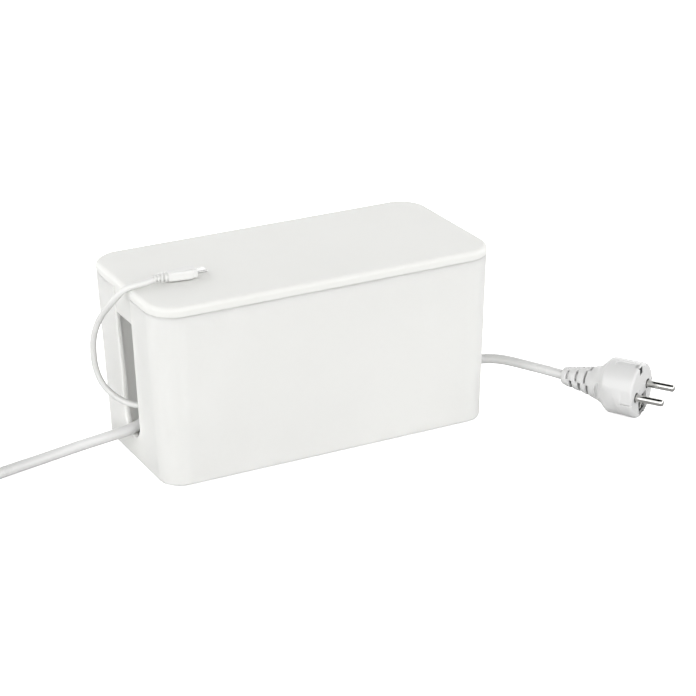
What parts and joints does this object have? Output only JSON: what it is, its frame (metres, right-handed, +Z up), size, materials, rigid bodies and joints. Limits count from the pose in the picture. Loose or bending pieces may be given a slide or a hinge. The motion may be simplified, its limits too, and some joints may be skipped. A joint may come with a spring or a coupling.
{
  "type": "cable management box",
  "caption": "White lidded box with a cable slot in each end, holding a socket strip, its mains lead and plug, an appliance lead and a charging lead.",
  "frame": {"origin": "on the floor under the middle of the box", "axes": "+X along the box's length towards the mains plug's end, -Y the front, +Z up"},
  "size_m": [0.511, 0.2662, 0.1277],
  "materials": {
    "box_shell": "fine satin moulded white plastic",
    "foot_rubber": "soft grey rubber",
    "strip_shell": "satin white",
    "screw_steel": "zinc plated",
    "contact_brass": "stamped brass",
    "wire_insulation": "PVC insulation",
    "board": "circuit board",
    "plated_steel": "nickel plated",
    "lead_pvc": "white PVC sheath, soft sheen",
    "plug_pvc": "white moulded PVC",
    "plated_pins": "nickel plated brass",
    "tie_strap": "black hook-and-loop strap",
    "usb_moulding": "white moulded plastic",
    "usb_sheath": "white sheath, soft sheen"
  },
  "bodies": {
    "box": {"box_body": "box_shell", "foot_front_left": "foot_rubber", "foot_front_right": "foot_rubber", "foot_rear_left": "foot_rubber", "foot_rear_right": "foot_rubber", "strip_base": "strip_shell", "strip_cover": "strip_shell", "strip_screws": "screw_steel", "live_bus_bar": "contact_brass", "neutral_bus_bar": "contact_brass", "earth_bus_bar": "contact_brass", "strip_wires": "wire_insulation", "usb_board": "board", "usb_port": "plated_steel", "strip_gland": "lead_pvc", "mains_lead_inner": "lead_pvc", "mains_lead_hank": "lead_pvc", "hank_tie": "tie_strap", "mains_lead": "lead_pvc", "mains_plug_body": "plug_pvc", "mains_plug_pins": "plated_pins", "mains_plug_earth_clips": "plated_steel", "appliance_plug_body": "plug_pvc", "appliance_plug_pins": "plated_pins", "appliance_lead": "lead_pvc", "appliance_lead_coil": "lead_pvc", "appliance_lead_tail": "lead_pvc", "appliance_coil_tie": "tie_strap", "appliance_connector": "plug_pvc", "usb_plug_shell": "plated_steel", "usb_plug_body": "usb_moulding", "usb_lead_inner": "usb_sheath", "usb_lead_coil": "usb_sheath", "usb_coil_tie": "tie_strap", "usb_lead": "usb_sheath"},
    "lid": {"lid": "box_shell", "usb_lead_end": "usb_sheath", "micro_plug_body": "usb_moulding", "micro_plug_tip": "plated_steel"}
  },
  "joints": [
    {"name": "lid_lift", "type": "slide", "parent": "box", "child": "lid", "axis": [0, 0, 1], "range_m": [0, 0.06]}
  ]
}
